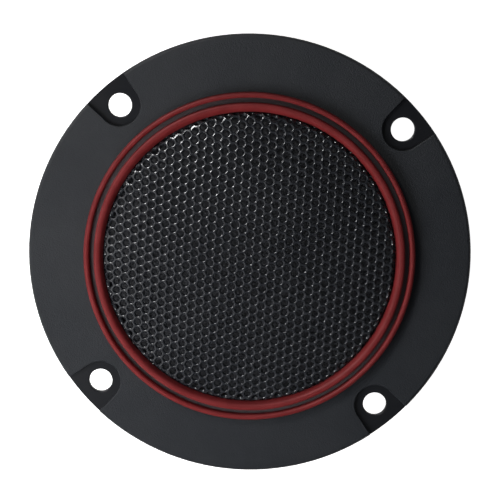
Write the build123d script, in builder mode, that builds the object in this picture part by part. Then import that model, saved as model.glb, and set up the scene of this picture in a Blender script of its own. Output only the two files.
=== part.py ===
from build123d import *
from math import acos, asin, cos, degrees, radians, sin
import os

# A flange-mounted dome tweeter. Sizes are millimetres. The origin is the centre of the
# screw-hole circle on the mounting plane, the back face of the flange, and +Z points out
# of the grille. The motor hangs below the flange and stands on its back plate.

# ---------------------------------------------------------------- driving dimensions
# Flange
flange_diameter = 100.0
flange_thickness = 2.6
flange_edge_round = 0.8
recess_edge_round = 0.25
screw_circle = 89.5
screw_count = 4
screw_hole = 5.3
screw_recess_width = 9.3
screw_recess_flare = 0.7
screw_recess_depth = 1.0
screw_hole_relief = 0.5
collar_diameter = 76.0
collar_depth = 8.0
collar_wall = 2.2
web_depth = 1.5
mouth_diameter = 62.0

# Trim rings
inner_ring_inside = 65.8
inner_ring_width = 2.05
inner_ring_height = 5.4
inner_ring_shoulder = 0.75
inner_ring_lip = 0.45
inner_ring_slope = (-0.45, -1)
ring_gap = 1.05
outer_ring_width = 1.25
outer_ring_height = 4.95
outer_ring_crown = 0.8
land_height = 3.5
ring_fit = 0.05
ring_seat = 1.8
peg_diameter = 1.0
peg_length = 2.6
peg_count = 6

# Grille and cloth
grille_rise = 3.0
grille_shoulder = 1.45
sheet_thickness = 0.6
grille_rim_width = 1.35
grille_edge_gap = 0.15
shoulder_lean = 0.25
shoulder_round = 1.0
cloth_thickness = 0.2
seat_height = 2.85

# Gasket in the back of the flange
gasket_width = 2.5
gasket_thickness = 1.0
gasket_inset = 0.8
gasket_fit = 0.1

# Diaphragm and voice coil
coil_bore = 25.4
former_wall = 0.2
winding_thickness = 0.5
winding_height = 2.4
former_height = 4.7
dome_rise = 5.6
dome_thickness = 0.25
dome_foot_width = 0.9
surround_width = 5.0
surround_crest = 1.2
surround_rim_width = 4.2
surround_foot_drop = 1.1
ring_rim_height = 2.2
cone_clearance = 0.3

# Diaphragm ring, seal and waveguide
diaphragm_ring_bore = 36.4
diaphragm_ring_diameter = 56.2
seal_width = 4.8
seal_thickness = 0.8
throat_lip = 0.8
throat_lean = (0.35, 1)
mouth_lean = (1, 0.12)
housing_fit = 0.2

# Motor
coil_gap = 0.4
pole_gap = 0.3
top_plate_diameter = 70.8
top_plate_thickness = 4.0
magnet_diameter = 60.0
magnet_bore = 32.0
magnet_thickness = 10.0
back_plate_diameter = 58.0
back_plate_thickness = 5.0
vent_diameter = 7.0
motor_edge_break = 0.8
felt_thickness = 1.1
felt_hole = 8.0
felt_inset = 1.0
plug_length = 12.0
plug_inset = 1.0

# Motor screws
motor_screw_circle = 65.6
motor_screw_diameter = 2.5
motor_screw_bite = 1.5
motor_head_diameter = 4.7
motor_head_height = 1.8
cross_width = 0.7
cross_length = 2.8
cross_depth = 1.1
thread_fit = 0.05
shank_fit = 0.15

# Contacts, terminals and wiring
contact_angle = 20.0
contact_width = 3.2
contact_thickness = 0.4
contact_height = 0.8
contact_drop = 7.0
contact_stand_off = 1.1
contact_overhang = 1.0
slot_fit = 0.5
board_span = 64.0
board_thickness = 2.2
board_reach = 0.5
lug_spacing = 11.0
positive_lug_width = 4.8
negative_lug_width = 2.8
lug_thickness = 0.8
lug_foot = 4.2
lug_length = 8.0
lug_eye = 1.4
rivet_diameter = 1.6
rivet_head = 2.6
rivet_head_height = 0.5
rivet_edge_round = 0.4
board_rivet_angle = 26.0
rivet_grip = 2.0
rivet_gap = 0.6
capacitor_diameter = 6.5
capacitor_length = 12.0
capacitor_angle = 335.0
capacitor_drop = 5.2
lead_spacing = 2.0
pad_thickness = 0.5
pad_width = 5.0
pad_length = 8.0
wire_diameter = 0.7
wire_drop = 2.2
wire_straight = 2.5
joint_below_rivet = 2.0
upper_lead_reach = 35.0
lower_lead_reach = 33.0
lower_lead_turn = 47.0
lower_lead_dip = 0.8
contact_wire_bend = 1.0
lug_wire_bend = 0.8
tinsel_diameter = 0.3
tinsel_bend = 0.4

# ---------------------------------------------------------------- heights and radii
inner_ring_outside = inner_ring_inside / 2 + inner_ring_width
land_inside = inner_ring_outside + ring_fit
land_outside = inner_ring_outside + ring_gap - ring_fit
outer_ring_inside = land_outside + ring_fit
outer_ring_outside = outer_ring_inside + outer_ring_width
collar_inside = collar_diameter / 2 - collar_wall
collar_bottom = -collar_depth
recess_floor = flange_thickness - screw_recess_depth
web_bottom = -web_depth
gasket_inside = collar_diameter / 2 + gasket_inset
gasket_outside = gasket_inside + gasket_width

cloth_top = seat_height + cloth_thickness
rim_top = cloth_top + sheet_thickness
grille_foot = inner_ring_inside / 2 - grille_edge_gap
grille_outside = grille_foot + grille_rim_width
shoulder_height = rim_top + grille_shoulder
grille_top = shoulder_height + grille_rise

plate_top = collar_bottom
plate_bottom = plate_top - top_plate_thickness
magnet_bottom = plate_bottom - magnet_thickness
motor_back = magnet_bottom - back_plate_thickness

former_inside = coil_bore / 2
former_outside = former_inside + former_wall
winding_outside = former_outside + winding_thickness
plate_bore = winding_outside + coil_gap
pole_radius = former_inside - pole_gap
surround_inside = former_outside + dome_foot_width / 2
surround_outside = surround_inside + surround_width
ring_rim = plate_top + ring_rim_height
surround_rim_top = ring_rim + cloth_thickness
foot_bottom = ring_rim - surround_foot_drop
foot_top = foot_bottom + dome_thickness
seal_bottom = surround_rim_top - seal_thickness
throat_radius = surround_outside + cone_clearance
waveguide_outside = collar_inside - housing_fit

contact_level = plate_top + contact_height - contact_thickness / 2
contact_outside = top_plate_diameter / 2 + contact_stand_off + contact_thickness
board_bottom = plate_bottom - board_thickness
lug_bottom = board_bottom - lug_thickness
board_outside = top_plate_diameter / 2 - board_reach
board_inside = magnet_diameter / 2 + board_reach
rivet_circle = (board_inside + board_outside) / 2
rivet_start = 270 - board_rivet_angle
rivet_span = 2 * board_rivet_angle


def corner(profile, radius, height):
    """The corner of a profile sketch that is nearest to a radius and a height."""
    return profile.vertices().sort_by_distance(Vector(radius, height, 0))[0]


def spoke(angle):
    """The upright plane through the Z axis whose x direction points out at an angle."""
    return Plane(
        origin=(0, 0, 0),
        x_dir=(cos(radians(angle)), sin(radians(angle)), 0),
        z_dir=(sin(radians(angle)), -cos(radians(angle)), 0),
    )


def save(builder, name):
    """Label a finished piece and write it to its own file."""
    builder.part.label = name
    export_step(builder.part, f"parts/{name}.step")


os.makedirs("parts", exist_ok=True)

# ---------------------------------------------------------------- flange plate
# Flange, collar and web are one moulding. The grooves in its face hold the trim rings, the
# ledge inside them holds the cloth and grille, and each screw hole sits in a U-shaped
# recess that runs out through the rim.
with BuildPart() as flange_plate:
    with BuildSketch(Plane.XZ) as flange_profile:
        with BuildLine():
            Polyline(
                (mouth_diameter / 2, web_bottom),
                (collar_inside, web_bottom),
                (collar_inside, collar_bottom),
                (collar_diameter / 2, collar_bottom),
                (collar_diameter / 2, 0),
                (gasket_inside, 0),
                (gasket_inside, gasket_thickness),
                (gasket_outside, gasket_thickness),
                (gasket_outside, 0),
                (flange_diameter / 2, 0),
                (flange_diameter / 2, flange_thickness),
                (outer_ring_outside + ring_fit, flange_thickness),
                (outer_ring_outside + ring_fit, ring_seat),
                (land_outside, ring_seat),
                (land_outside, land_height),
                (land_inside, land_height),
                (land_inside, seat_height),
                (mouth_diameter / 2, seat_height),
                close=True,
            )
        make_face()
        fillet(corner(flange_profile, flange_diameter / 2, flange_thickness), flange_edge_round)
        fillet(corner(flange_profile, flange_diameter / 2, 0), flange_edge_round / 3)
        chamfer(corner(flange_profile, collar_diameter / 2, collar_bottom), flange_edge_round / 2)
    revolve(axis=Axis.Z)
    recess_run = flange_diameter / 2 - screw_circle / 2 + screw_recess_flare
    with BuildSketch(Plane.XY.offset(flange_thickness)):
        with PolarLocations(screw_circle / 2, screw_count, start_angle=45):
            Circle(screw_recess_width / 2)
            Polygon(
                (0, -screw_recess_width / 2),
                (recess_run, -screw_recess_width / 2 - screw_recess_flare),
                (recess_run, screw_recess_width / 2 + screw_recess_flare),
                (0, screw_recess_width / 2),
                align=None,
            )
    extrude(amount=-screw_recess_depth, mode=Mode.SUBTRACT)
    recess_rims = flange_plate.edges(Select.LAST).filter_by_position(
        Axis.Z, flange_thickness, flange_thickness
    )
    fillet(recess_rims, recess_edge_round)
    with BuildSketch(Plane.XY.offset(flange_thickness)):
        with PolarLocations(screw_circle / 2, screw_count, start_angle=45):
            Circle(screw_hole / 2)
    extrude(amount=-2 * flange_thickness, mode=Mode.SUBTRACT)
    hole_rims = flange_plate.edges(Select.LAST).filter_by_position(
        Axis.Z, recess_floor, recess_floor
    )
    fillet(hole_rims, recess_edge_round)
    with BuildSketch():
        with PolarLocations(screw_circle / 2, screw_count, start_angle=45):
            Circle(screw_hole / 2 + screw_hole_relief)
    extrude(amount=screw_hole_relief, taper=45, mode=Mode.SUBTRACT)
    with BuildSketch(Plane.XY.offset(seat_height)):
        with PolarLocations(land_inside - peg_diameter / 2, peg_count):
            Circle(peg_diameter / 2 + ring_fit)
    extrude(amount=-peg_length - ring_fit, mode=Mode.SUBTRACT)
    with BuildSketch(Plane.XY.offset(ring_seat)):
        with PolarLocations((outer_ring_inside + outer_ring_outside) / 2, peg_count):
            Circle(peg_diameter / 2 + ring_fit)
    extrude(amount=-peg_length - ring_fit, mode=Mode.SUBTRACT)
    with BuildSketch(Plane.XY.offset(web_bottom)):
        with PolarLocations(motor_screw_circle / 2, screw_count, start_angle=45):
            Circle(motor_screw_diameter / 2 + thread_fit)
    extrude(amount=motor_screw_bite + thread_fit, mode=Mode.SUBTRACT)
    for side in (-1, 1):
        with BuildSketch(spoke(270 + side * contact_angle)):
            with Locations((collar_diameter / 2, plate_top)):
                Rectangle(2 * collar_wall + 2 * slot_fit, 2 * (contact_height + slot_fit))
        extrude(amount=contact_width / 2 + slot_fit, both=True, mode=Mode.SUBTRACT)
save(flange_plate, "flange_plate")

# ---------------------------------------------------------------- trim rings
# Two raised beads with locating pegs underneath. The inner one overlaps the grille's rim.
outer_bead_foot = outer_ring_height - outer_ring_crown
inner_crest = inner_ring_outside - inner_ring_shoulder
with BuildPart() as outer_trim_ring:
    with BuildSketch(Plane.XZ):
        with BuildLine():
            Polyline(
                (outer_ring_inside, outer_bead_foot),
                (outer_ring_inside, ring_seat),
                (outer_ring_outside, ring_seat),
                (outer_ring_outside, outer_bead_foot),
            )
            ThreePointArc(
                (outer_ring_outside, outer_bead_foot),
                ((outer_ring_inside + outer_ring_outside) / 2, outer_ring_height),
                (outer_ring_inside, outer_bead_foot),
            )
        make_face()
    revolve(axis=Axis.Z)
    with BuildSketch(Plane.XY.offset(ring_seat)):
        with PolarLocations((outer_ring_inside + outer_ring_outside) / 2, peg_count):
            Circle(peg_diameter / 2)
    extrude(amount=-peg_length)
save(outer_trim_ring, "outer_trim_ring")

with BuildPart() as inner_trim_ring:
    with BuildSketch(Plane.XZ):
        with BuildLine():
            Polyline(
                (inner_ring_inside / 2, rim_top + inner_ring_lip),
                (inner_ring_inside / 2, rim_top),
                (grille_outside + ring_fit, rim_top),
                (grille_outside + ring_fit, seat_height),
                (inner_ring_outside, seat_height),
                (inner_ring_outside, inner_ring_height - inner_ring_shoulder),
            )
            Spline(
                (inner_ring_outside, inner_ring_height - inner_ring_shoulder),
                (inner_crest, inner_ring_height),
                (inner_ring_inside / 2, rim_top + inner_ring_lip),
                tangents=((0, 1), inner_ring_slope),
            )
        make_face()
    revolve(axis=Axis.Z)
    with BuildSketch(Plane.XY.offset(seat_height)):
        with PolarLocations(land_inside - peg_diameter / 2, peg_count):
            Circle(peg_diameter / 2)
    extrude(amount=-peg_length)
save(inner_trim_ring, "inner_trim_ring")

# ---------------------------------------------------------------- grille
# A shallow dome of sheet metal with a steep shoulder and a flat rim that lies on the cloth.
# The sheet is drawn whole: its round holes, about nine hundred, are left out of this solid.
dome_edge = grille_foot - shoulder_lean
grille_sphere = (dome_edge**2 + grille_rise**2) / (2 * grille_rise)
sphere_height = grille_top - grille_sphere
edge_angle = degrees(asin(dome_edge / grille_sphere))
inner_sphere = grille_sphere - sheet_thickness
inner_edge = dome_edge - sheet_thickness
inner_angle = degrees(asin(inner_edge / inner_sphere))

with BuildPart() as grille:
    with BuildSketch(Plane.XZ) as grille_profile:
        with BuildLine():
            outer_arc = CenterArc((0, sphere_height), grille_sphere, 90 - edge_angle, edge_angle)
            inner_arc = CenterArc((0, sphere_height), inner_sphere, 90 - inner_angle, inner_angle)
            Polyline(
                outer_arc @ 0,
                (grille_foot, rim_top),
                (grille_outside, rim_top),
                (grille_outside, cloth_top),
                (grille_foot - sheet_thickness, cloth_top),
                inner_arc @ 0,
            )
            Line(inner_arc @ 1, outer_arc @ 1)
        make_face()
        fillet(corner(grille_profile, dome_edge, shoulder_height), shoulder_round)
        fillet(corner(grille_profile, inner_edge, (inner_arc @ 0).Y), shoulder_round - sheet_thickness)
    revolve(axis=Axis.Z)
save(grille, "grille")

# ---------------------------------------------------------------- scrim cloth and gasket
# The cloth is stretched flat across the mouth and trapped under the grille's rim.
with BuildPart() as scrim_cloth:
    with BuildSketch(Plane.XY.offset(seat_height)):
        Circle(grille_outside)
    extrude(amount=cloth_thickness)
save(scrim_cloth, "scrim_cloth")

# The gasket is drawn at its compressed height, level with the back of the flange.
with BuildPart() as mounting_gasket:
    with BuildSketch():
        Circle(gasket_outside - gasket_fit)
        Circle(gasket_inside + gasket_fit, mode=Mode.SUBTRACT)
    extrude(amount=gasket_thickness)
save(mounting_gasket, "mounting_gasket")

# ---------------------------------------------------------------- waveguide
# A shallow horn from the throat round the dome to the mouth of the flange. Its skirt seats
# on the top plate, takes the motor screws, and has a slot for each contact strip.
lip_top = surround_rim_top + throat_lip
skirt_inside = diaphragm_ring_diameter / 2 + housing_fit
with BuildPart() as waveguide:
    with BuildSketch(Plane.XZ):
        with BuildLine():
            Spline(
                (throat_radius, lip_top),
                (mouth_diameter / 2, web_bottom),
                tangents=(throat_lean, mouth_lean),
            )
            Polyline(
                (mouth_diameter / 2, web_bottom),
                (waveguide_outside, web_bottom),
                (waveguide_outside, plate_top),
                (skirt_inside, plate_top),
                (skirt_inside, surround_rim_top),
                (throat_radius, surround_rim_top),
                (throat_radius, lip_top),
            )
        make_face()
    revolve(axis=Axis.Z)
    with BuildSketch(Plane.XY.offset(web_bottom)):
        with PolarLocations(motor_screw_circle / 2, screw_count, start_angle=45):
            Circle(motor_screw_diameter / 2 + shank_fit)
    extrude(amount=plate_top - web_bottom, mode=Mode.SUBTRACT)
    for side in (-1, 1):
        with BuildSketch(spoke(270 + side * contact_angle)):
            with Locations((waveguide_outside, plate_top)):
                Rectangle(
                    2 * (waveguide_outside - skirt_inside) + 2 * slot_fit,
                    2 * (contact_height + slot_fit),
                )
        extrude(amount=contact_width / 2 + slot_fit, both=True, mode=Mode.SUBTRACT)
save(waveguide, "waveguide")

# ---------------------------------------------------------------- diaphragm ring and seal
# The ring is moulded round the two contact strips, which run out through it.
rim_outside = surround_outside + surround_rim_width
with BuildPart() as diaphragm_ring:
    with BuildSketch(Plane.XZ):
        with BuildLine():
            Polyline(
                (diaphragm_ring_bore / 2, plate_top),
                (diaphragm_ring_diameter / 2, plate_top),
                (diaphragm_ring_diameter / 2, seal_bottom),
                (rim_outside + housing_fit, seal_bottom),
                (rim_outside + housing_fit, ring_rim),
                (diaphragm_ring_bore / 2, ring_rim),
                close=True,
            )
        make_face()
    revolve(axis=Axis.Z)
    for side in (-1, 1):
        with BuildSketch(spoke(270 + side * contact_angle)):
            with Locations((diaphragm_ring_diameter / 2, contact_level)):
                Rectangle(diaphragm_ring_diameter / 2, contact_thickness)
        extrude(amount=contact_width / 2, both=True, mode=Mode.SUBTRACT)
save(diaphragm_ring, "diaphragm_ring")

with BuildPart() as sealing_ring:
    with BuildSketch(Plane.XY.offset(seal_bottom)):
        Circle(diaphragm_ring_diameter / 2)
        Circle(diaphragm_ring_diameter / 2 - seal_width, mode=Mode.SUBTRACT)
    extrude(amount=seal_thickness)
save(sealing_ring, "sealing_ring")

# ---------------------------------------------------------------- dome, surround and coil
dome_foot = surround_inside
dome_sphere = (former_outside**2 + dome_rise**2) / (2 * dome_rise)
dome_centre = foot_top + dome_rise - dome_sphere
skin_sphere = dome_sphere - dome_thickness
outer_reach = degrees(asin(former_outside / dome_sphere))
inner_reach = degrees(acos((foot_bottom - dome_centre) / skin_sphere))
with BuildPart() as dome:
    with BuildSketch(Plane.XZ):
        with BuildLine():
            outside = CenterArc((0, dome_centre), dome_sphere, 90 - outer_reach, outer_reach)
            inside = CenterArc((0, dome_centre), skin_sphere, 90 - inner_reach, inner_reach)
            Polyline(outside @ 0, (dome_foot, foot_top), (dome_foot, foot_bottom), inside @ 0)
            Line(inside @ 1, outside @ 1)
        make_face()
    revolve(axis=Axis.Z)
save(dome, "dome")

# A half roll whose inner foot sits lower than its clamped rim.
roll_middle = (surround_inside + surround_outside) / 2
roll_top = surround_rim_top + surround_crest
with BuildPart() as surround:
    with BuildSketch(Plane.XZ):
        with BuildLine():
            ThreePointArc(
                (surround_inside, foot_top),
                (roll_middle, roll_top),
                (surround_outside, surround_rim_top),
            )
            Polyline(
                (surround_outside, surround_rim_top),
                (rim_outside, surround_rim_top),
                (rim_outside, ring_rim),
                (surround_outside, ring_rim),
            )
            ThreePointArc(
                (surround_outside, ring_rim),
                (roll_middle, roll_top - cloth_thickness),
                (surround_inside, foot_bottom),
            )
            Line((surround_inside, foot_bottom), (surround_inside, foot_top))
        make_face()
    revolve(axis=Axis.Z)
save(surround, "surround")

with BuildPart() as coil_former:
    with BuildSketch(Plane.XY.offset(foot_bottom)):
        Circle(former_outside)
        Circle(former_inside, mode=Mode.SUBTRACT)
    extrude(amount=-former_height)
save(coil_former, "coil_former")

# The winding is centred on the thickness of the top plate.
with BuildPart() as coil_winding:
    with BuildSketch(Plane.XY.offset((plate_top + plate_bottom + winding_height) / 2)):
        Circle(winding_outside)
        Circle(former_outside, mode=Mode.SUBTRACT)
    extrude(amount=-winding_height)
save(coil_winding, "coil_winding")

# ---------------------------------------------------------------- motor
with BuildPart() as top_plate:
    with BuildSketch(Plane.XY.offset(plate_top)):
        Circle(top_plate_diameter / 2)
        Circle(plate_bore, mode=Mode.SUBTRACT)
        with PolarLocations(motor_screw_circle / 2, screw_count, start_angle=45):
            Circle(motor_screw_diameter / 2 + shank_fit, mode=Mode.SUBTRACT)
    extrude(amount=-top_plate_thickness)
    chamfer(top_plate.faces().sort_by(Axis.Z)[0].outer_wire().edges(), motor_edge_break / 2)
    with BuildSketch(Plane.XY.offset(plate_bottom)):
        with PolarLocations(rivet_circle, 2, rivet_start, rivet_span, endpoint=True):
            Circle(rivet_diameter / 2)
    extrude(amount=rivet_grip, mode=Mode.SUBTRACT)
save(top_plate, "top_plate")

with BuildPart() as magnet:
    with BuildSketch(Plane.XY.offset(plate_bottom)):
        Circle(magnet_diameter / 2)
        Circle(magnet_bore / 2, mode=Mode.SUBTRACT)
    extrude(amount=-magnet_thickness)
    chamfer(magnet.edges().filter_by(GeomType.CIRCLE), motor_edge_break)
save(magnet, "magnet")

# Back plate and pole are one turned piece, vented through its centre.
with BuildPart() as yoke:
    with BuildSketch(Plane.XZ) as yoke_profile:
        with BuildLine():
            Polyline(
                (vent_diameter / 2, motor_back),
                (back_plate_diameter / 2, motor_back),
                (back_plate_diameter / 2, magnet_bottom),
                (pole_radius, magnet_bottom),
                (pole_radius, plate_top),
                (vent_diameter / 2, plate_top),
                close=True,
            )
        make_face()
        chamfer(corner(yoke_profile, back_plate_diameter / 2, motor_back), motor_edge_break)
        chamfer(corner(yoke_profile, vent_diameter / 2, motor_back), motor_edge_break / 2)
        chamfer(corner(yoke_profile, pole_radius, plate_top), motor_edge_break / 3)
    revolve(axis=Axis.Z)
save(yoke, "yoke")

with BuildPart() as damping_disc:
    with BuildSketch(Plane.XY.offset(plate_top)):
        Circle(pole_radius - felt_inset)
        Circle(felt_hole / 2, mode=Mode.SUBTRACT)
    extrude(amount=felt_thickness)
save(damping_disc, "damping_disc")

with BuildPart() as vent_plug:
    with BuildSketch(Plane.XY.offset(motor_back + plug_inset)):
        Circle(vent_diameter / 2 - ring_fit)
    extrude(amount=plug_length)
save(vent_plug, "vent_plug")

with BuildPart() as motor_screws:
    with BuildSketch(Plane.XY.offset(plate_bottom)):
        with PolarLocations(motor_screw_circle / 2, screw_count, start_angle=45):
            Circle(motor_screw_diameter / 2)
    extrude(amount=web_bottom - plate_bottom + motor_screw_bite)
    with BuildSketch(Plane.XY.offset(plate_bottom)):
        with PolarLocations(motor_screw_circle / 2, screw_count, start_angle=45):
            Circle(motor_head_diameter / 2)
    extrude(amount=-motor_head_height)
    head_rims = motor_screws.faces().group_by(Axis.Z)[0].edges()
    fillet(head_rims, motor_head_height / 2)
    with BuildSketch(Plane.XY.offset(plate_bottom - motor_head_height)):
        with PolarLocations(motor_screw_circle / 2, screw_count, start_angle=45):
            Rectangle(cross_length, cross_width)
            Rectangle(cross_width, cross_length)
    extrude(amount=cross_depth, mode=Mode.SUBTRACT)
save(motor_screws, "motor_screws")

# ---------------------------------------------------------------- contacts and terminals
# Each strip runs out from the diaphragm ring and turns down outside the top plate.
contact_inside = diaphragm_ring_bore / 2 - contact_overhang
low = contact_level - contact_thickness / 2
high = contact_level + contact_thickness / 2
for side, name in ((1, "positive_contact"), (-1, "negative_contact")):
    with BuildPart() as contact:
        with BuildSketch(spoke(270 + side * contact_angle)):
            with BuildLine():
                Polyline(
                    (contact_inside, low),
                    (contact_outside - contact_thickness, low),
                    (contact_outside - contact_thickness, high - contact_drop),
                    (contact_outside, high - contact_drop),
                    (contact_outside, high),
                    (contact_inside, high),
                    close=True,
                )
            make_face()
        extrude(amount=contact_width / 2, both=True)
    save(contact, name)

# The board is a sector under the top plate's edge, between two motor screws.
reach = 2 * board_outside
half = radians(board_span / 2)
with BuildPart() as terminal_board:
    with BuildSketch(Plane.XY.offset(plate_bottom)):
        Circle(board_outside)
        Circle(board_inside, mode=Mode.SUBTRACT)
        with BuildLine():
            Polyline(
                (0, 0),
                (-reach * sin(half), -reach * cos(half)),
                (reach * sin(half), -reach * cos(half)),
                close=True,
            )
        make_face(mode=Mode.INTERSECT)
    extrude(amount=-board_thickness)
    with BuildSketch(Plane.XY.offset(plate_bottom)):
        with Locations((-lug_spacing / 2, -rivet_circle), (lug_spacing / 2, -rivet_circle)):
            Circle(rivet_diameter / 2)
    extrude(amount=-board_thickness, mode=Mode.SUBTRACT)
    with BuildSketch(Plane.XY.offset(plate_bottom)):
        with PolarLocations(rivet_circle, 2, rivet_start, rivet_span, endpoint=True):
            Circle(rivet_diameter / 2)
    extrude(amount=-board_thickness, mode=Mode.SUBTRACT)
save(terminal_board, "terminal_board")

# Each lug has a riveted foot under the board and a blade that stands down from its edge.
for side, width, name in (
    (1, positive_lug_width, "positive_lug"),
    (-1, negative_lug_width, "negative_lug"),
):
    middle = side * lug_spacing / 2
    with BuildPart() as lug:
        with BuildSketch(Plane.XY.offset(board_bottom)):
            with Locations((middle, -board_outside + lug_foot / 2)):
                Rectangle(width, lug_foot)
            with Locations((middle, -rivet_circle)):
                Circle(rivet_diameter / 2, mode=Mode.SUBTRACT)
        extrude(amount=-lug_thickness)
        with BuildSketch(Plane.XZ.offset(board_outside)) as blade:
            with Locations((middle, board_bottom - lug_length / 2)):
                Rectangle(width, lug_length)
            chamfer(blade.vertices().group_by(Axis.Y)[0], width / 6)
            with Locations((middle, board_bottom - lug_length + lug_eye * 1.5)):
                Circle(lug_eye / 2, mode=Mode.SUBTRACT)
        extrude(amount=-lug_thickness)
    save(lug, name)

# The lug rivets stop short of the steel plate; the board rivets grip in it.
with BuildPart() as lug_rivets:
    with BuildSketch(Plane.XY.offset(plate_bottom - rivet_gap)):
        with Locations((-lug_spacing / 2, -rivet_circle), (lug_spacing / 2, -rivet_circle)):
            Circle(rivet_diameter / 2)
    extrude(amount=lug_bottom - plate_bottom + rivet_gap)
    with BuildSketch(Plane.XY.offset(lug_bottom)):
        with Locations((-lug_spacing / 2, -rivet_circle), (lug_spacing / 2, -rivet_circle)):
            Circle(rivet_head / 2)
    extrude(amount=-rivet_head_height)
    fillet(lug_rivets.faces().group_by(Axis.Z)[0].edges(), rivet_edge_round)
save(lug_rivets, "lug_rivets")

with BuildPart() as board_rivets:
    with BuildSketch(Plane.XY.offset(plate_bottom + rivet_grip)):
        with PolarLocations(rivet_circle, 2, rivet_start, rivet_span, endpoint=True):
            Circle(rivet_diameter / 2)
    extrude(amount=-rivet_grip - board_thickness)
    with BuildSketch(Plane.XY.offset(board_bottom)):
        with PolarLocations(rivet_circle, 2, rivet_start, rivet_span, endpoint=True):
            Circle(rivet_head / 2)
    extrude(amount=-rivet_head_height)
    fillet(board_rivets.faces().group_by(Axis.Z)[0].edges(), rivet_edge_round)
save(board_rivets, "board_rivets")

# ---------------------------------------------------------------- capacitor and wiring
# The capacitor lies along the side of the magnet on an adhesive pad, with both of its
# leads at the end nearer the terminals.
capacitor_radius = magnet_diameter / 2 + pad_thickness + capacitor_diameter / 2
capacitor_height = plate_bottom - capacitor_drop
outward = Vector(cos(radians(capacitor_angle)), sin(radians(capacitor_angle)), 0)
along = Vector(-sin(radians(capacitor_angle)), cos(radians(capacitor_angle)), 0)
capacitor_end = outward * capacitor_radius - along * (capacitor_length / 2)
capacitor_end = capacitor_end + Vector(0, 0, capacitor_height)
with BuildPart() as capacitor:
    with BuildSketch(Plane(origin=capacitor_end, z_dir=along)):
        Circle(capacitor_diameter / 2)
    extrude(amount=capacitor_length)
    fillet(capacitor.edges().filter_by(GeomType.CIRCLE), capacitor_diameter / 12)
save(capacitor, "capacitor")

pad_middle = outward * (magnet_diameter / 2) + Vector(0, 0, capacitor_height)
with BuildPart() as capacitor_pad:
    with BuildSketch(Plane(origin=pad_middle, x_dir=along, z_dir=outward)):
        Rectangle(pad_length, pad_width)
    extrude(amount=pad_thickness)
save(capacitor_pad, "capacitor_pad")


def wire(points, bend, diameter):
    """A round wire along straight runs joined by arcs of one radius."""
    with BuildPart() as piece:
        with BuildLine() as route:
            FilletPolyline(*points, radius=bend)
        with BuildSketch(Plane(origin=route.line @ 0, z_dir=route.line % 0)):
            Circle(diameter / 2)
        sweep()
    return piece


def contact_tip(side):
    """The lower end of a contact strip."""
    radius = contact_outside - contact_thickness / 2
    angle = radians(270 + side * contact_angle)
    return Vector(radius * cos(angle), radius * sin(angle), high - contact_drop)


def lug_root(side):
    """The middle of a lug blade's inner face, just under its rivet."""
    inner_face = -board_outside + lug_thickness
    return Vector(side * lug_spacing / 2, inner_face, lug_bottom - joint_below_rivet)


below = Vector(0, 0, -wire_drop)
inward = Vector(0, wire_drop, 0)
lead_side = Vector(0, 0, lead_spacing / 2)
upper_start = capacitor_end + lead_side
lower_start = capacitor_end - lead_side


def round_motor(angle, height):
    """A point beside the magnet, as far out as the capacitor's middle."""
    turn = radians(angle)
    return Vector(capacitor_radius * cos(turn), capacitor_radius * sin(turn), height)


capacitor_contact_lead = wire(
    (
        upper_start,
        upper_start - along * wire_straight,
        round_motor(capacitor_angle - upper_lead_reach, upper_start.Z),
        contact_tip(1) + below,
        contact_tip(1),
    ),
    contact_wire_bend,
    wire_diameter,
)
save(capacitor_contact_lead, "capacitor_contact_lead")

capacitor_lug_lead = wire(
    (
        lower_start,
        lower_start - along * wire_straight,
        round_motor(capacitor_angle - lower_lead_reach, lower_start.Z - lower_lead_dip),
        round_motor(capacitor_angle - lower_lead_turn, lower_start.Z - lower_lead_dip / 2),
        lug_root(1) + inward,
        lug_root(1),
    ),
    lug_wire_bend,
    wire_diameter,
)
save(capacitor_lug_lead, "capacitor_lug_lead")

negative_wire = wire(
    (
        contact_tip(-1),
        contact_tip(-1) + below,
        lug_root(-1) + inward,
        lug_root(-1),
    ),
    lug_wire_bend,
    wire_diameter,
)
save(negative_wire, "negative_wire")

# Two short tinsel leads run from the coil former to the contact strips.
lead_start = former_outside + tinsel_diameter / 2
lead_foot = (plate_top + plate_bottom + winding_height) / 2
with BuildPart() as coil_leads:
    for side in (-1, 1):
        out = spoke(270 + side * contact_angle).x_dir
        with BuildLine() as tinsel:
            FilletPolyline(
                out * lead_start + Vector(0, 0, lead_foot),
                out * lead_start + Vector(0, 0, contact_level),
                out * contact_inside + Vector(0, 0, contact_level),
                radius=tinsel_bend,
            )
        with BuildSketch(Plane(origin=tinsel.line @ 0, z_dir=tinsel.line % 0)):
            Circle(tinsel_diameter / 2)
        sweep(path=tinsel.line)
save(coil_leads, "coil_leads")
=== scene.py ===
"""A flange-mounted dome tweeter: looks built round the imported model.

The shared frame is in metres, with the origin on the mounting plane and +Z out of the grille.
Shapes below are worked out in millimetres and turned into metres when a mesh is made.
"""

import bpy
import math
import numpy as np
from mathutils import Matrix, Vector


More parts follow.
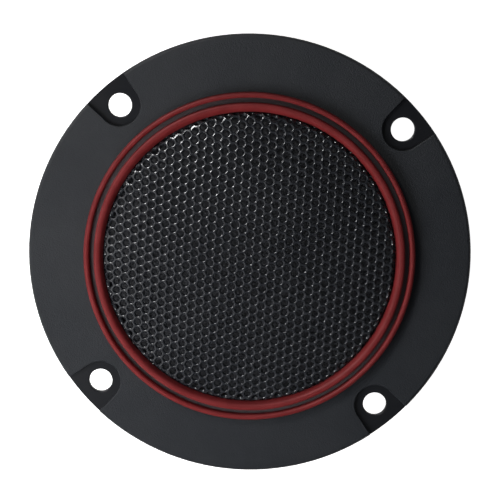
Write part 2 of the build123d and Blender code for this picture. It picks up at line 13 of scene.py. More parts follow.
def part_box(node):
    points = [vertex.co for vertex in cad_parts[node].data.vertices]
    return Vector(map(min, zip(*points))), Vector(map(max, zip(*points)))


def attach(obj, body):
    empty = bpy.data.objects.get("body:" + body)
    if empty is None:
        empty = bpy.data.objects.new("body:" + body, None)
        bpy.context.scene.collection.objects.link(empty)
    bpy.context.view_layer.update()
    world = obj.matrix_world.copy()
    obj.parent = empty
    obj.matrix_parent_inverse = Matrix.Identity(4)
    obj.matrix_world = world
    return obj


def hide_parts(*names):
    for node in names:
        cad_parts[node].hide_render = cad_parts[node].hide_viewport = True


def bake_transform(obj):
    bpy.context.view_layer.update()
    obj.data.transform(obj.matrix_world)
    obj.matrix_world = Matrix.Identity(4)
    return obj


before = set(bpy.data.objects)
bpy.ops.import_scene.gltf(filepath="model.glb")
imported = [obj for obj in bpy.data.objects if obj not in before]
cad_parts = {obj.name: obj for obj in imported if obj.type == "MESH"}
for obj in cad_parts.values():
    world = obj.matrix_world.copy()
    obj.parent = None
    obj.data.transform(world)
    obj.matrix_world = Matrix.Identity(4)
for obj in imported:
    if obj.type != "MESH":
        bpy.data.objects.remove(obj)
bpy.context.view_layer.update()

MM = 0.001
FULL_TURN = 2 * math.pi


# ------------------------------------------------------------------ mesh making
def fill_mesh(name, points, faces):
    """A mesh from points in millimetres and a list of face arrays, one row of corners a face."""
    mesh = bpy.data.meshes.new(name)
    mesh.vertices.add(len(points))
    mesh.vertices.foreach_set("co", (np.asarray(points, float) * MM).ravel().astype(np.float32))
    sizes = np.concatenate([np.full(len(f), f.shape[1]) for f in faces])
    corners = np.concatenate([f.ravel() for f in faces])
    mesh.loops.add(len(corners))
    mesh.loops.foreach_set("vertex_index", corners.astype(np.int32))
    mesh.polygons.add(len(sizes))
    starts = np.concatenate([[0], np.cumsum(sizes)[:-1]])
    mesh.polygons.foreach_set("loop_start", starts.astype(np.int32))
    mesh.update(calc_edges=True)
    mesh.validate()
    return mesh


def piece(name, points, faces, material, body, slot, replaces=(), crease=40):
    """A finished object: smooth shaded, with edges sharper than crease degrees kept crisp."""
    mesh = fill_mesh(name, points, faces)
    mesh.polygons.foreach_set("use_smooth", np.ones(len(mesh.polygons), bool))
    mesh.set_sharp_from_angle(angle=math.radians(crease))
    mesh.materials.append(material)
    made = bpy.data.objects.new(name, mesh)
    bpy.context.scene.collection.objects.link(made)
    if body:
        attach(made, body)
    if replaces:
        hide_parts(*replaces)
    return made


def grid_faces(rows, columns, wrap_rows=False, wrap_columns=False):
    """Four-cornered faces that join a grid of rows by columns, wrapped round where asked."""
    r = np.arange(rows if wrap_rows else rows - 1)
    c = np.arange(columns if wrap_columns else columns - 1)
    r, c = np.meshgrid(r, c, indexing="ij")
    r_next, c_next = (r + 1) % rows, (c + 1) % columns
    return np.stack(
        [r * columns + c, r_next * columns + c, r_next * columns + c_next, r * columns + c_next],
        axis=-1,
    ).reshape(-1, 4)


def closed_poles(points, faces, pole_rows, columns):
    """Each pole row of a grid is joined into its first point. Faces that lose one side
    there become triangles, faces that lose two go, and unused points go with them."""
    keep = np.arange(len(points))
    for row in pole_rows:
        keep[row * columns : (row + 1) * columns] = row * columns
    faces = keep[faces]
    start_pole, end_pole = faces[:, 0] == faces[:, 3], faces[:, 1] == faces[:, 2]
    quads = faces[~start_pole & ~end_pole]
    tris = np.concatenate([faces[start_pole & ~end_pole][:, :3],
                           faces[end_pole & ~start_pole][:, [0, 1, 3]]])
    used, places = np.unique(np.concatenate([quads.ravel(), tris.ravel()]), return_inverse=True)
    quads, tris = places[: quads.size].reshape(-1, 4), places[quads.size :].reshape(-1, 3)
    return points[used], [quads, tris]


def turned(profile, steps, closed=True):
    """A turned surface: x = r cos a, y = r sin a, z = z, for each profile point (r, z) and
    each of the steps angles a. The profile runs clockwise seen with r to the right, so that
    faces point outwards. Points on the axis are joined into one pole."""
    profile = np.asarray(profile, float)
    a = np.arange(steps) * FULL_TURN / steps
    r, z = profile[:, :1], profile[:, 1:]
    height = np.broadcast_to(z, (len(profile), steps))
    grid = np.stack([r * np.cos(a), r * np.sin(a), height], axis=-1)
    faces = grid_faces(len(profile), steps, wrap_rows=closed, wrap_columns=True)
    points = grid.reshape(-1, 3)
    on_axis = np.flatnonzero(profile[:, 0] < 1e-9)
    if not len(on_axis):
        return points, [faces]
    return closed_poles(points, faces, on_axis, steps)


def arc(centre, radius, start, end, count):
    """Points on an arc: centre + radius (cos t, sin t), t from start to end in degrees."""
    t = np.radians(np.linspace(start, end, count))
    return np.stack([centre[0] + radius * np.cos(t), centre[1] + radius * np.sin(t)], axis=-1)


def rounded(corners, radii, steps=5):
    """A profile whose corners are replaced by arcs. At each corner the arc touches both
    sides at radius / tan(half the corner's angle) from it."""
    corners = np.asarray(corners, float)
    out = []
    for k, radius in enumerate(radii):
        before, here, after = corners[k - 1], corners[k], corners[(k + 1) % len(corners)]
        if radius == 0:
            out.append(here[None])
            continue
        into, away = before - here, after - here
        into, away = into / np.linalg.norm(into), away / np.linalg.norm(away)
        half = math.acos(np.clip(into @ away, -1, 1)) / 2
        reach = radius / math.tan(half)
        middle = here + (into + away) / np.linalg.norm(into + away) * radius / math.sin(half)
        first, last = here + into * reach - middle, here + away * reach - middle
        turn = math.pi - 2 * half
        t = np.linspace(0, 1, steps)[:, None]
        swept = np.sin((1 - t) * turn) * first + np.sin(t * turn) * last
        out.append(middle + swept / math.sin(turn))
    return np.concatenate(out)


def along_profile(profile, lengths):
    """Places and outward normals at the given lengths along a profile, and its length."""
    step = np.diff(profile, axis=0)
    run = np.concatenate([[0], np.cumsum(np.linalg.norm(step, axis=1))])
    at = np.stack([np.interp(lengths, run, profile[:, k]) for k in (0, 1)], axis=-1)
    tangent = np.gradient(profile, run, axis=0)
    tangent = np.stack([np.interp(lengths, run, tangent[:, k]) for k in (0, 1)], axis=-1)
    tangent /= np.linalg.norm(tangent, axis=-1, keepdims=True)
    return at, np.stack([-tangent[..., 1], tangent[..., 0]], axis=-1), run[-1]


def tube(path, radius, sides):
    """A round tube with flat ends along a path. Each ring lies in the plane square to the
    path, and is carried along it without twisting."""
    count = len(path)
    tangent = np.gradient(path, axis=0)
    tangent /= np.linalg.norm(tangent, axis=1, keepdims=True)
    side = np.cross(tangent[0], [0.3, 0.5, 0.8])
    sides_at = []
    for direction in tangent:
        side = side - direction * (side @ direction)
        side = side / np.linalg.norm(side)
        sides_at.append(side)
    u = np.array(sides_at)
    v = np.cross(tangent, u)
    a = np.arange(sides) * FULL_TURN / sides
    ring = u[:, None] * np.cos(a)[:, None] + v[:, None] * np.sin(a)[:, None]
    points = (path[:, None] + ring * radius).reshape(-1, 3)
    start = np.arange(sides)[None]
    walls = grid_faces(count, sides, wrap_columns=True)[:, ::-1]
    return points, [walls, start[:, ::-1], (count - 1) * sides + start]


def joined(shapes):
    """Several (points, faces) shapes as one."""
    points, faces, start = [], [], 0
    for shape_points, shape_faces in shapes:
        points.append(shape_points)
        faces.extend(f + start for f in shape_faces)
        start += len(shape_points)
    return np.concatenate(points), faces


def smooth_path(corners, count):
    """A smooth curve through the given points, by Catmull-Rom cubic segments."""
    p = np.asarray(corners, float)
    p = np.concatenate([[2 * p[0] - p[1]], p, [2 * p[-1] - p[-2]]])
    t = np.linspace(0, len(corners) - 1 - 1e-9, count)
    k = t.astype(int)
    f = (t - k)[:, None]
    p0, p1, p2, p3 = p[k], p[k + 1], p[k + 2], p[k + 3]
    return 0.5 * (
        2 * p1 + (p2 - p0) * f + (2 * p0 - 5 * p1 + 4 * p2 - p3) * f**2
        + (3 * p1 - p0 - 3 * p2 + p3) * f**3
    )


# ------------------------------------------------------------------ shared shader effects
def new_group(name, inputs, outputs):
    """An empty shader group with named sockets. Inputs are (name, kind, default)."""
    group = bpy.data.node_groups.new(name, "ShaderNodeTree")
    for label, kind, default in inputs:
        socket = group.interface.new_socket(label, in_out="INPUT", socket_type=kind)
        if default is not None:
            socket.default_value = default
    for label, kind in outputs:
        group.interface.new_socket(label, in_out="OUTPUT", socket_type=kind)
    return group, group.nodes.new("NodeGroupInput"), group.nodes.new("NodeGroupOutput")


def add_node(tree, kind, settings=(), inputs=()):
    """A node with its settings and its input values or links filled in."""
    node = tree.nodes.new(kind)
    for key, value in dict(settings).items():
        setattr(node, key, value)
    for key, value in dict(inputs).items():
        if isinstance(value, bpy.types.NodeSocket):
            tree.links.new(value, node.inputs[key])
        else:
            node.inputs[key].default_value = value
    return node


def maths(tree, operation, first, second=None, clamp=False):
    """One Math node's result."""
    values = {0: first} if second is None else {0: first, 1: second}
    settings = {"operation": operation, "use_clamp": clamp}
    return add_node(tree, "ShaderNodeMath", settings, values).outputs[0]


def ramp(tree, value, low, high, from_value=0.0, to_value=1.0):
    """A smooth step of value between low and high, put on the given range."""
    node = add_node(
        tree,
        "ShaderNodeMapRange",
        {"interpolation_type": "SMOOTHSTEP"},
        {"Value": value, "From Min": low, "From Max": high, "To Min": from_value,
         "To Max": to_value},
    )
    return node.outputs["Result"]


def make_grain_group():
    """Moulded grain: rounded pebbles with finer noise between them, as a height."""
    tree, given, result = new_group(
        "moulded_grain",
        [("Vector", "NodeSocketVector", None), ("Pebble Size", "NodeSocketFloat", 0.0004)],
        [("Height", "NodeSocketFloat")],
    )
    scale = maths(tree, "DIVIDE", 1.0, given.outputs["Pebble Size"])
    pebbles = add_node(
        tree,
        "ShaderNodeTexVoronoi",
        {"feature": "SMOOTH_F1"},
        {"Vector": given.outputs["Vector"], "Scale": scale, "Smoothness": 0.6, "Randomness": 0.9},
    )
    fine = add_node(
        tree,
        "ShaderNodeTexNoise",
        {},
        {"Vector": given.outputs["Vector"], "Scale": maths(tree, "MULTIPLY", scale, 1.7),
         "Detail": 3.0, "Roughness": 0.6},
    )
    dome = maths(tree, "SUBTRACT", 1.0, pebbles.outputs["Distance"])
    height = maths(tree, "MULTIPLY_ADD", fine.outputs["Fac"], 0.8)
    tree.links.new(dome, height.node.inputs[2])
    tree.links.new(height, result.inputs["Height"])
    return tree


def make_wear_group():
    """Edge wear: a mask that is 1 where the surface turns sharply outward, broken up by
    noise, from the difference between the true and the rounded normal."""
    tree, given, result = new_group(
        "edge_wear",
        [("Vector", "NodeSocketVector", None), ("Width", "NodeSocketFloat", 0.0004),
         ("Amount", "NodeSocketFloat", 0.5)],
        [("Mask", "NodeSocketFloat")],
    )
    soft = add_node(tree, "ShaderNodeBevel", {"samples": 4}, {"Radius": given.outputs["Width"]})
    true = add_node(tree, "ShaderNodeNewGeometry")
    dot = add_node(tree, "ShaderNodeVectorMath", {"operation": "DOT_PRODUCT"},
                   {0: soft.outputs[0], 1: true.outputs["Normal"]})
    edge = maths(tree, "SUBTRACT", 1.0, dot.outputs["Value"])
    noise = add_node(tree, "ShaderNodeTexNoise", {},
                     {"Vector": given.outputs["Vector"], "Scale": 900.0, "Detail": 4.0})
    broken = maths(tree, "MULTIPLY", edge, ramp(tree, noise.outputs["Fac"], 0.35, 0.6))
    gain = maths(tree, "MULTIPLY", given.outputs["Amount"], 8.0)
    mask = maths(tree, "MULTIPLY", broken, gain, clamp=True)
    tree.links.new(mask, result.inputs["Mask"])
    return tree


def make_dust_group():
    """Dust: small specks and a thin soft film, as a mask."""
    tree, given, result = new_group(
        "dust",
        [("Vector", "NodeSocketVector", None), ("Film", "NodeSocketFloat", 0.1),
         ("Specks", "NodeSocketFloat", 0.2)],
        [("Mask", "NodeSocketFloat")],
    )
    cloud = add_node(tree, "ShaderNodeTexNoise", {},
                     {"Vector": given.outputs["Vector"], "Scale": 60.0, "Detail": 5.0,
                      "Roughness": 0.65})
    speck = add_node(tree, "ShaderNodeTexVoronoi", {"feature": "F1"},
                     {"Vector": given.outputs["Vector"], "Scale": 1100.0, "Randomness": 1.0})
    clouds = ramp(tree, cloud.outputs["Fac"], 0.35, 0.75)
    film = maths(tree, "MULTIPLY", clouds, given.outputs["Film"])
    rare = ramp(tree, speck.outputs["Distance"], 0.1, 0.05)
    lone = add_node(tree, "ShaderNodeSeparateColor", {}, {0: speck.outputs["Color"]})
    rare = maths(tree, "MULTIPLY", rare, ramp(tree, lone.outputs[0], 0.9, 0.95))
    specks = maths(tree, "MULTIPLY", rare, given.outputs["Specks"])
    tree.links.new(maths(tree, "ADD", film, specks, clamp=True), result.inputs["Mask"])
    return tree


def make_turning_group():
    """Lathe marks: fine rings about the Z axis on faces, as a height."""
    tree, given, result = new_group(
        "lathe_marks",
        [("Vector", "NodeSocketVector", None), ("Pitch", "NodeSocketFloat", 0.00025)],
        [("Height", "NodeSocketFloat")],
    )
    split = add_node(tree, "ShaderNodeSeparateXYZ", {}, {0: given.outputs["Vector"]})
    flat = add_node(tree, "ShaderNodeCombineXYZ", {}, {0: split.outputs[0], 1: split.outputs[1]})
    length = add_node(tree, "ShaderNodeVectorMath", {"operation": "LENGTH"}, {0: flat.outputs[0]})
    across = maths(tree, "ADD", length.outputs["Value"], split.outputs[2])
    turns = maths(tree, "DIVIDE", across, given.outputs["Pitch"])
    rings = add_node(tree, "ShaderNodeTexNoise", {"noise_dimensions": "1D"},
                     {"W": turns, "Scale": 1.0, "Detail": 2.0})
    tree.links.new(rings.outputs["Fac"], result.inputs["Height"])
    return tree


def make_weave_group():
    """Plain weave on a UV map in metres: threads over and under each other, as a height and
    a mask of the open gaps between them."""
    tree, given, result = new_group(
        "plain_weave",
        [("Vector", "NodeSocketVector", None), ("Thread Pitch", "NodeSocketFloat", 0.0003)],
        [("Height", "NodeSocketFloat"), ("Gaps", "NodeSocketFloat")],
    )
    turn = maths(tree, "DIVIDE", math.pi, given.outputs["Thread Pitch"])
    split = add_node(tree, "ShaderNodeSeparateXYZ", {}, {0: given.outputs["Vector"]})
    u = maths(tree, "MULTIPLY", split.outputs[0], turn)
    v = maths(tree, "MULTIPLY", split.outputs[1], turn)
    warp = maths(tree, "ABSOLUTE", maths(tree, "SINE", u))
    weft = maths(tree, "ABSOLUTE", maths(tree, "SINE", v))
    over = maths(tree, "MULTIPLY", maths(tree, "COSINE", u), maths(tree, "COSINE", v))
    threads = maths(tree, "MAXIMUM", warp, weft)
    height = maths(tree, "MULTIPLY_ADD", over, 0.4)
    tree.links.new(threads, height.node.inputs[2])
    tree.links.new(height, result.inputs["Height"])
    tree.links.new(ramp(tree, threads, 0.75, 0.45), result.inputs["Gaps"])
    return tree


GRAIN = make_grain_group()
WEAR = make_wear_group()
DUST = make_dust_group()
TURNING = make_turning_group()
WEAVE = make_weave_group()


class Finish:
    """One material: a Principled shader with helpers that place effects before it."""

    def __init__(self, name, color, roughness, **constants):
        self.material = bpy.data.materials.new(name)
        self.material.use_nodes = True
        self.tree = self.material.node_tree
        self.shader = self.tree.nodes["Principled BSDF"]
        self.shader.inputs["Base Color"].default_value = (*color, 1)
        self.shader.inputs["Roughness"].default_value = roughness
        for label, value in constants.items():
            socket = label.replace("_", " ").title().replace("Ior", "IOR")
            self.shader.inputs[socket].default_value = value
        self.place = add_node(self.tree, "ShaderNodeTexCoord").outputs["Object"]
        self.last_bump = None

    def effect(self, group, **inputs):
        """One of the shared effects, with its sizes."""
        node = self.tree.nodes.new("ShaderNodeGroup")
        node.node_tree = group
        self.tree.links.new(self.place, node.inputs["Vector"])
        for label, value in inputs.items():
            node.inputs[label.replace("_", " ").title()].default_value = value
        return node

    def noise(self, scale, detail=3.0, roughness=0.55, distortion=0.0):
        """Cloudy noise over the object."""
        return add_node(
            self.tree, "ShaderNodeTexNoise", {},
            {"Vector": self.place, "Scale": scale, "Detail": detail, "Roughness": roughness,
             "Distortion": distortion},
        ).outputs["Fac"]

    def cells(self, scale, feature="F1", randomness=1.0):
        """Voronoi cells over the object: the distance to a cell's middle or edge."""
        inputs = {"Vector": self.place, "Scale": scale, "Randomness": randomness}
        node = add_node(self.tree, "ShaderNodeTexVoronoi", {"feature": feature}, inputs)
        return node.outputs["Distance"]

    def bump(self, height, depth):
        """Adds a bump of the given depth in millimetres on top of the bumps so far."""
        inputs = {"Height": height, "Distance": depth * MM, "Strength": 1.0}
        if self.last_bump is not None:
            inputs["Normal"] = self.last_bump
        node = add_node(self.tree, "ShaderNodeBump", {}, inputs)
        self.last_bump = node.outputs["Normal"]
        self.tree.links.new(self.last_bump, self.shader.inputs["Normal"])

    def tint(self, mask, color):
        """Mixes a colour over the base colour where the mask is 1."""
        socket = self.shader.inputs["Base Color"]
        mix = add_node(self.tree, "ShaderNodeMix", {"data_type": "RGBA"})
        self.tree.links.new(mask, mix.inputs[0])
        if socket.is_linked:
            self.tree.links.new(socket.links[0].from_socket, mix.inputs[6])
        else:
            mix.inputs[6].default_value = socket.default_value
        mix.inputs[7].default_value = (*color, 1)
        self.tree.links.new(mix.outputs[2], socket)

    def blotch(self, scale, low, high, color, **kind):
        """Cloudy patches of another colour."""
        self.tint(ramp(self.tree, self.noise(scale, **kind), low, high), color)

    def dust(self, film, specks, color):
        """A film of dust and single specks."""
        self.tint(self.effect(DUST, film=film, specks=specks).outputs["Mask"], color)

    def wear(self, width, amount, color):
        """Edges rubbed to another colour."""
        self.tint(self.effect(WEAR, width=width, amount=amount).outputs["Mask"], color)

    def roughen(self, mask, low, high):
        """Roughness runs from low to high with the mask."""
        spread = ramp(self.tree, mask, 0.0, 1.0, low, high)
        self.tree.links.new(spread, self.shader.inputs["Roughness"])


def grained_plastic():
    """Satin black plastic. The top face has a fine pebble grain; everything lower, such as the
    floors of the screw recesses, is smooth and darker. The land between the rings, which the rings
    shade, is painted a lighter reddish grey: painted red light reflected off the rings. Dust and
    worn edges on all."""
    made = Finish("grained_black_plastic", (0.0095, 0.0105, 0.0135), 0.5, specular_ior_level=0.28)
    height = add_node(made.tree, "ShaderNodeSeparateXYZ", {}, {0: made.place}).outputs[2]
    recess_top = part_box("mounting_gasket")[1].z + 1.3 * MM
    face = ramp(made.tree, height, recess_top, recess_top + 0.2 * MM)
    grain = made.effect(GRAIN, pebble_size=0.0003)
    made.bump(maths(made.tree, "MULTIPLY", grain.outputs["Height"], face), 0.06)
    made.bump(made.noise(2400), 0.004)
    made.tint(face, (0.021, 0.024, 0.029))
    made.tint(maths(made.tree, "MULTIPLY", ramp(made.tree, made.noise(260), 0.35, 0.75), face),
              (0.0235, 0.0265, 0.032))
    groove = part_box("flange_plate")[1].z
    # Painted light: the shaded land between the rings is tinted a lighter reddish grey that stands
    # in for red light reflected off the rings.
    made.tint(ramp(made.tree, height, groove - 0.2 * MM, groove - 0.1 * MM), (0.085, 0.066, 0.072))
    made.dust(0.05, 0.35, (0.12, 0.12, 0.12))
    made.wear(0.0003, 0.25, (0.06, 0.062, 0.067))
    satin = ramp(made.tree, made.noise(900), 0.2, 0.8, 0.7, 1.0)
    made.roughen(maths(made.tree, "MULTIPLY", face, satin), 0.34, 0.56)
    return made.material


def red_lacquer():
    """Deep red lacquer with fine flow marks; its highlights keep some of the red."""
    made = Finish("red_lacquer", (0.20, 0.02, 0.0215), 0.5, specular_ior_level=0.25,
                  specular_tint=(1.0, 0.6, 0.6, 1.0))
    made.blotch(260, 0.35, 0.7, (0.235, 0.026, 0.028))
    made.dust(0.03, 0.4, (0.25, 0.13, 0.13))
    made.bump(made.noise(900, 2.0), 0.003)
    made.roughen(made.noise(500), 0.42, 0.56)
    return made.material


def coated_steel():
    """Black powder-coated steel sheet: slight orange peel, faint blotches and dust."""
    made = Finish("black_coated_steel", (0.0175, 0.0195, 0.0245), 0.22, specular_ior_level=0.6)
    made.bump(made.noise(3200, 2.0), 0.007)
    made.blotch(90, 0.4, 0.7, (0.022, 0.0245, 0.03))
    made.dust(0.05, 0.5, (0.14, 0.14, 0.145))
    made.roughen(made.noise(1500), 0.17, 0.27)
    return made.material


def scrim_weave():
    """Thin black cloth in a plain weave, on its own UV map."""
    made = Finish("scrim", (0.052, 0.055, 0.066), 0.8, sheen_weight=0.3, sheen_roughness=0.5)
    made.place = add_node(made.tree, "ShaderNodeUVMap", {"uv_map": "cloth"}).outputs["UV"]
    weave = made.effect(WEAVE, thread_pitch=0.0003)
    made.bump(weave.outputs["Height"], 0.05)
    made.tint(weave.outputs["Gaps"], (0.02, 0.02, 0.023))
    return made.material


def closed_foam():
    """Black closed-cell foam: rounded cells and pin holes."""
    color, cell = (0.022, 0.022, 0.024), 0.5 * MM
    made = Finish("foam", color, 0.9, specular_ior_level=0.25)
    cells = made.cells(1 / cell)
    made.bump(cells, 0.12)
    made.tint(ramp(made.tree, cells, 0.25, 0.05), tuple(c * 0.3 for c in color))
    made.blotch(200, 0.4, 0.8, tuple(c * 1.6 for c in color))
    return made.material


def plain_moulding():
    """Plain black moulded plastic with flow marks and a slight sheen."""
    made = Finish("black_moulding", (0.02, 0.02, 0.022), 0.4, specular_ior_level=0.5)
    made.bump(made.noise(1500, 3.0), 0.008)
    made.blotch(150, 0.4, 0.7, (0.03, 0.03, 0.032), distortion=0.6)
    made.dust(0.1, 0.2, (0.12, 0.12, 0.12))
    made.roughen(made.noise(400), 0.32, 0.5)
    return made.material


def doped_silk():
    """Doped silk: a fine weave under a tacky, uneven coat."""
    made = Finish("silk", (0.024, 0.02, 0.024), 0.42, specular_ior_level=0.5,
                  coat_weight=0.25, coat_roughness=0.3, sheen_weight=0.1)
    made.bump(made.cells(4200.0, "DISTANCE_TO_EDGE", 0.25), 0.03)
    made.bump(made.noise(350, 3.0), 0.03)
    made.blotch(220, 0.35, 0.7, (0.04, 0.034, 0.04))
    made.roughen(made.noise(300), 0.3, 0.6)
    return made.material


def metal(name, color, roughness, pitch, depth, stain=None, wear=0.0):
    """Machined or plated metal: lathe marks, blotches and, where asked, brighter worn
    edges."""
    made = Finish(name, color, roughness, metallic=1.0)
    made.bump(made.effect(TURNING, pitch=pitch).outputs["Height"], depth)
    stain = stain or tuple(c * 0.72 for c in color)
    made.blotch(160, 0.4, 0.75, stain, detail=4.0)
    made.dust(0.15, 0.1, (0.2, 0.19, 0.17))
    if wear:
        made.wear(0.0004, wear, tuple(min(1.0, c * 1.25) for c in color))
    made.roughen(made.noise(700, 4.0), roughness * 0.75, roughness * 1.5)
    return made.material


def ferrite_stone():
    """Ground ferrite: dark grey ceramic with fine pits and chipped, lighter edges."""
    made = Finish("ferrite", (0.045, 0.045, 0.05), 0.55, specular_ior_level=0.6)
    made.bump(ramp(made.tree, made.cells(1400.0), 0.0, 0.35), 0.02)
    made.bump(made.noise(2500, 4.0), 0.012)
    made.blotch(240, 0.35, 0.7, (0.075, 0.073, 0.075), detail=5.0)
    made.wear(0.0007, 0.9, (0.16, 0.155, 0.155))
    made.roughen(made.noise(600), 0.42, 0.7)
    return made.material


def wool_felt():
    """Pressed wool felt: matted fibres with a soft sheen."""
    made = Finish("felt", (0.10, 0.10, 0.10), 0.95, sheen_weight=0.6, sheen_roughness=0.6)
    fibres = made.noise(2600, 6.0, 0.75, 2.5)
    made.bump(fibres, 0.15)
    made.tint(ramp(made.tree, fibres, 0.42, 0.62), (0.16, 0.155, 0.15))
    return made.material


def paper_laminate():
    """Brown paper laminate: layered flecks under a waxy resin."""
    made = Finish("board_laminate", (0.14, 0.065, 0.026), 0.42, specular_ior_level=0.5,
                  coat_weight=0.15, coat_roughness=0.3)
    made.bump(made.noise(1400, 4.0), 0.01)
    made.blotch(500, 0.4, 0.7, (0.2, 0.1, 0.045), detail=5.0)
    made.wear(0.0004, 0.8, (0.3, 0.19, 0.1))
    made.roughen(made.noise(300), 0.35, 0.55)
    return made.material


def sleeve(name, color, ripple=0.01):
    """Glossy plastic sleeve or wire insulation with a faint ripple."""
    made = Finish(name, color, 0.28, specular_ior_level=0.5, coat_weight=0.3, coat_roughness=0.15)
    made.bump(made.noise(500, 2.0), ripple)
    made.blotch(260, 0.4, 0.75, tuple(c * 1.5 for c in color))
    made.dust(0.15, 0.2, (0.25, 0.24, 0.23))
    made.roughen(made.noise(800), 0.22, 0.42)
    return made.material


PLASTIC = grained_plastic()
LACQUER = red_lacquer()
STEEL_COAT = coated_steel()
SCRIM = scrim_weave()
GASKET_FOAM = closed_foam()
MOULDING = plain_moulding()
SILK = doped_silk()
FOIL = metal("former", (0.62, 0.62, 0.6), 0.28, 0.0002, 0.002)
COPPER = metal("copper_wire", (0.6, 0.22, 0.09), 0.25, 0.0003, 0.001, (0.42, 0.13, 0.05))
ZINC = metal("zinc_plate", (0.52, 0.52, 0.5), 0.3, 0.00022, 0.006, (0.42, 0.425, 0.43), 0.6)
FERRITE = ferrite_stone()
FELT = wool_felt()
SCREW = metal("screw_steel", (0.55, 0.47, 0.3), 0.3, 0.0002, 0.003, (0.4, 0.36, 0.28), 0.6)
LAMINATE = paper_laminate()
TINNED = metal("tinned_brass", (0.66, 0.6, 0.46), 0.28, 0.0004, 0.003, (0.55, 0.47, 0.32), 0.5)
SLEEVE = sleeve("capacitor_sleeve", (0.012, 0.022, 0.06))
RED_WIRE = sleeve("wire_sleeve_red", (0.30, 0.012, 0.01))
BLACK_WIRE = sleeve("wire_sleeve_black", (0.012, 0.012, 0.013))
TINSEL = metal("tinsel", (0.58, 0.3, 0.17), 0.3, 0.0003, 0.002)
GLUE = sleeve("glue", (0.035, 0.028, 0.02), 0.02)
SOLDER = metal("solder", (0.62, 0.62, 0.63), 0.22, 0.0006, 0.004, (0.4, 0.4, 0.42))

# The nodes that stay as modelled; the pieces below replace the others.
NODE_FINISH = {
    "flange_plate": PLASTIC, "outer_trim_ring": LACQUER, "inner_trim_ring": LACQUER,
    "waveguide": MOULDING, "diaphragm_ring": MOULDING, "coil_former": FOIL, "top_plate": ZINC,
    "magnet": FERRITE, "yoke": ZINC, "motor_screws": SCREW, "positive_contact": TINNED,
    "negative_contact": TINNED, "terminal_board": LAMINATE, "positive_lug": TINNED,
    "negative_lug": TINNED, "lug_rivets": TINNED, "board_rivets": TINNED,
    "capacitor_contact_lead": RED_WIRE, "capacitor_lug_lead": RED_WIRE,
    "negative_wire": BLACK_WIRE,
}
for node_name, finish in NODE_FINISH.items():
    for material_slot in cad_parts[node_name].material_slots:
        material_slot.material = finish

# ------------------------------------------------------------------ grille
# The sheet lies on the cloth, and its outline repeats that of the CAD solid.
CLOTH_BOTTOM, CLOTH_TOP = (corner.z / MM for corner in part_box("scrim_cloth"))
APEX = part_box("grille")[1].z / MM
RIM_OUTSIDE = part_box("grille")[1].x / MM
SHEET_THICKNESS = 0.6
RIM_WIDTH = 1.35
SHOULDER_LEAN = 0.25
DOME_RISE = 3.0
RIM_TOP = CLOTH_TOP + SHEET_THICKNESS
FOOT_RADIUS = RIM_OUTSIDE - RIM_WIDTH
DOME_EDGE = FOOT_RADIUS - SHOULDER_LEAN
SHOULDER_ROUND = 1.0
FOOT_ROUND = 0.3
HOLE_PITCH = 2.0
HOLE_RADIUS = 0.67
HOLE_ROLL = 0.2
HOLE_SIDES = 24
PATTERN_TURN = 31.0
PATTERN_REACH = 20
BORDER_WIDTH = 0.15
BORDER_STEPS = 6


def grille_meridian():
    """The sheet's upper face from the apex out: an arc of a large sphere, a rounded
    shoulder, a steep side, a small foot round and the flat rim."""
    sphere = (DOME_EDGE**2 + DOME_RISE**2) / (2 * DOME_RISE)
    edge = math.degrees(math.asin(DOME_EDGE / sphere))
    top = arc((0, APEX - sphere), sphere, 90, 90 - edge, 120)
    inner_part = top[top[:, 0] < DOME_EDGE - SHOULDER_ROUND]
    below = APEX - 50
    corners = np.concatenate([inner_part, [top[-1], (FOOT_RADIUS, RIM_TOP), (RIM_OUTSIDE, RIM_TOP),
                                           (RIM_OUTSIDE, below), (0, below)]])
    radii = np.zeros(len(corners))
    radii[-5], radii[-4] = SHOULDER_ROUND, FOOT_ROUND
    return rounded(corners, radii, 9)[:-2]


def hole_centres(last_centre):
    """The flat places of the holes: C = i a + j b, with a and b one pitch long and 60
    degrees apart, kept where the centre is nearer the axis than last_centre."""
    turn = math.radians(PATTERN_TURN)
    a = HOLE_PITCH * np.array([math.cos(turn), math.sin(turn)])
    b = HOLE_PITCH * np.array([math.cos(turn + math.pi / 3), math.sin(turn + math.pi / 3)])
    reach = np.arange(-PATTERN_REACH, PATTERN_REACH + 1)
    i, j = np.meshgrid(reach, reach, indexing="ij")
    centres = i.reshape(-1, 1) * a + j.reshape(-1, 1) * b
    return centres[np.linalg.norm(centres, axis=1) < last_centre]


def hole_circle(count):
    """Unit directions round a hole, the first towards a corner of its hexagon."""
    angle = math.radians(PATTERN_TURN + 30) + np.arange(count) * FULL_TURN / count
    return np.stack([np.cos(angle), np.sin(angle)], axis=-1)


def web_corners(centres, corner_reach):
    """The corners of the hexagons round the holes, each kept once, and six numbers a hole
    that say which corners are its own."""
    corners = (centres[:, None] + corner_reach * hole_circle(6)).reshape(-1, 2)
    key = np.round(corners * 100).astype(int)
    _, first, shared = np.unique(key, axis=0, return_index=True, return_inverse=True)
    return corners[first], shared.reshape(len(centres), 6)


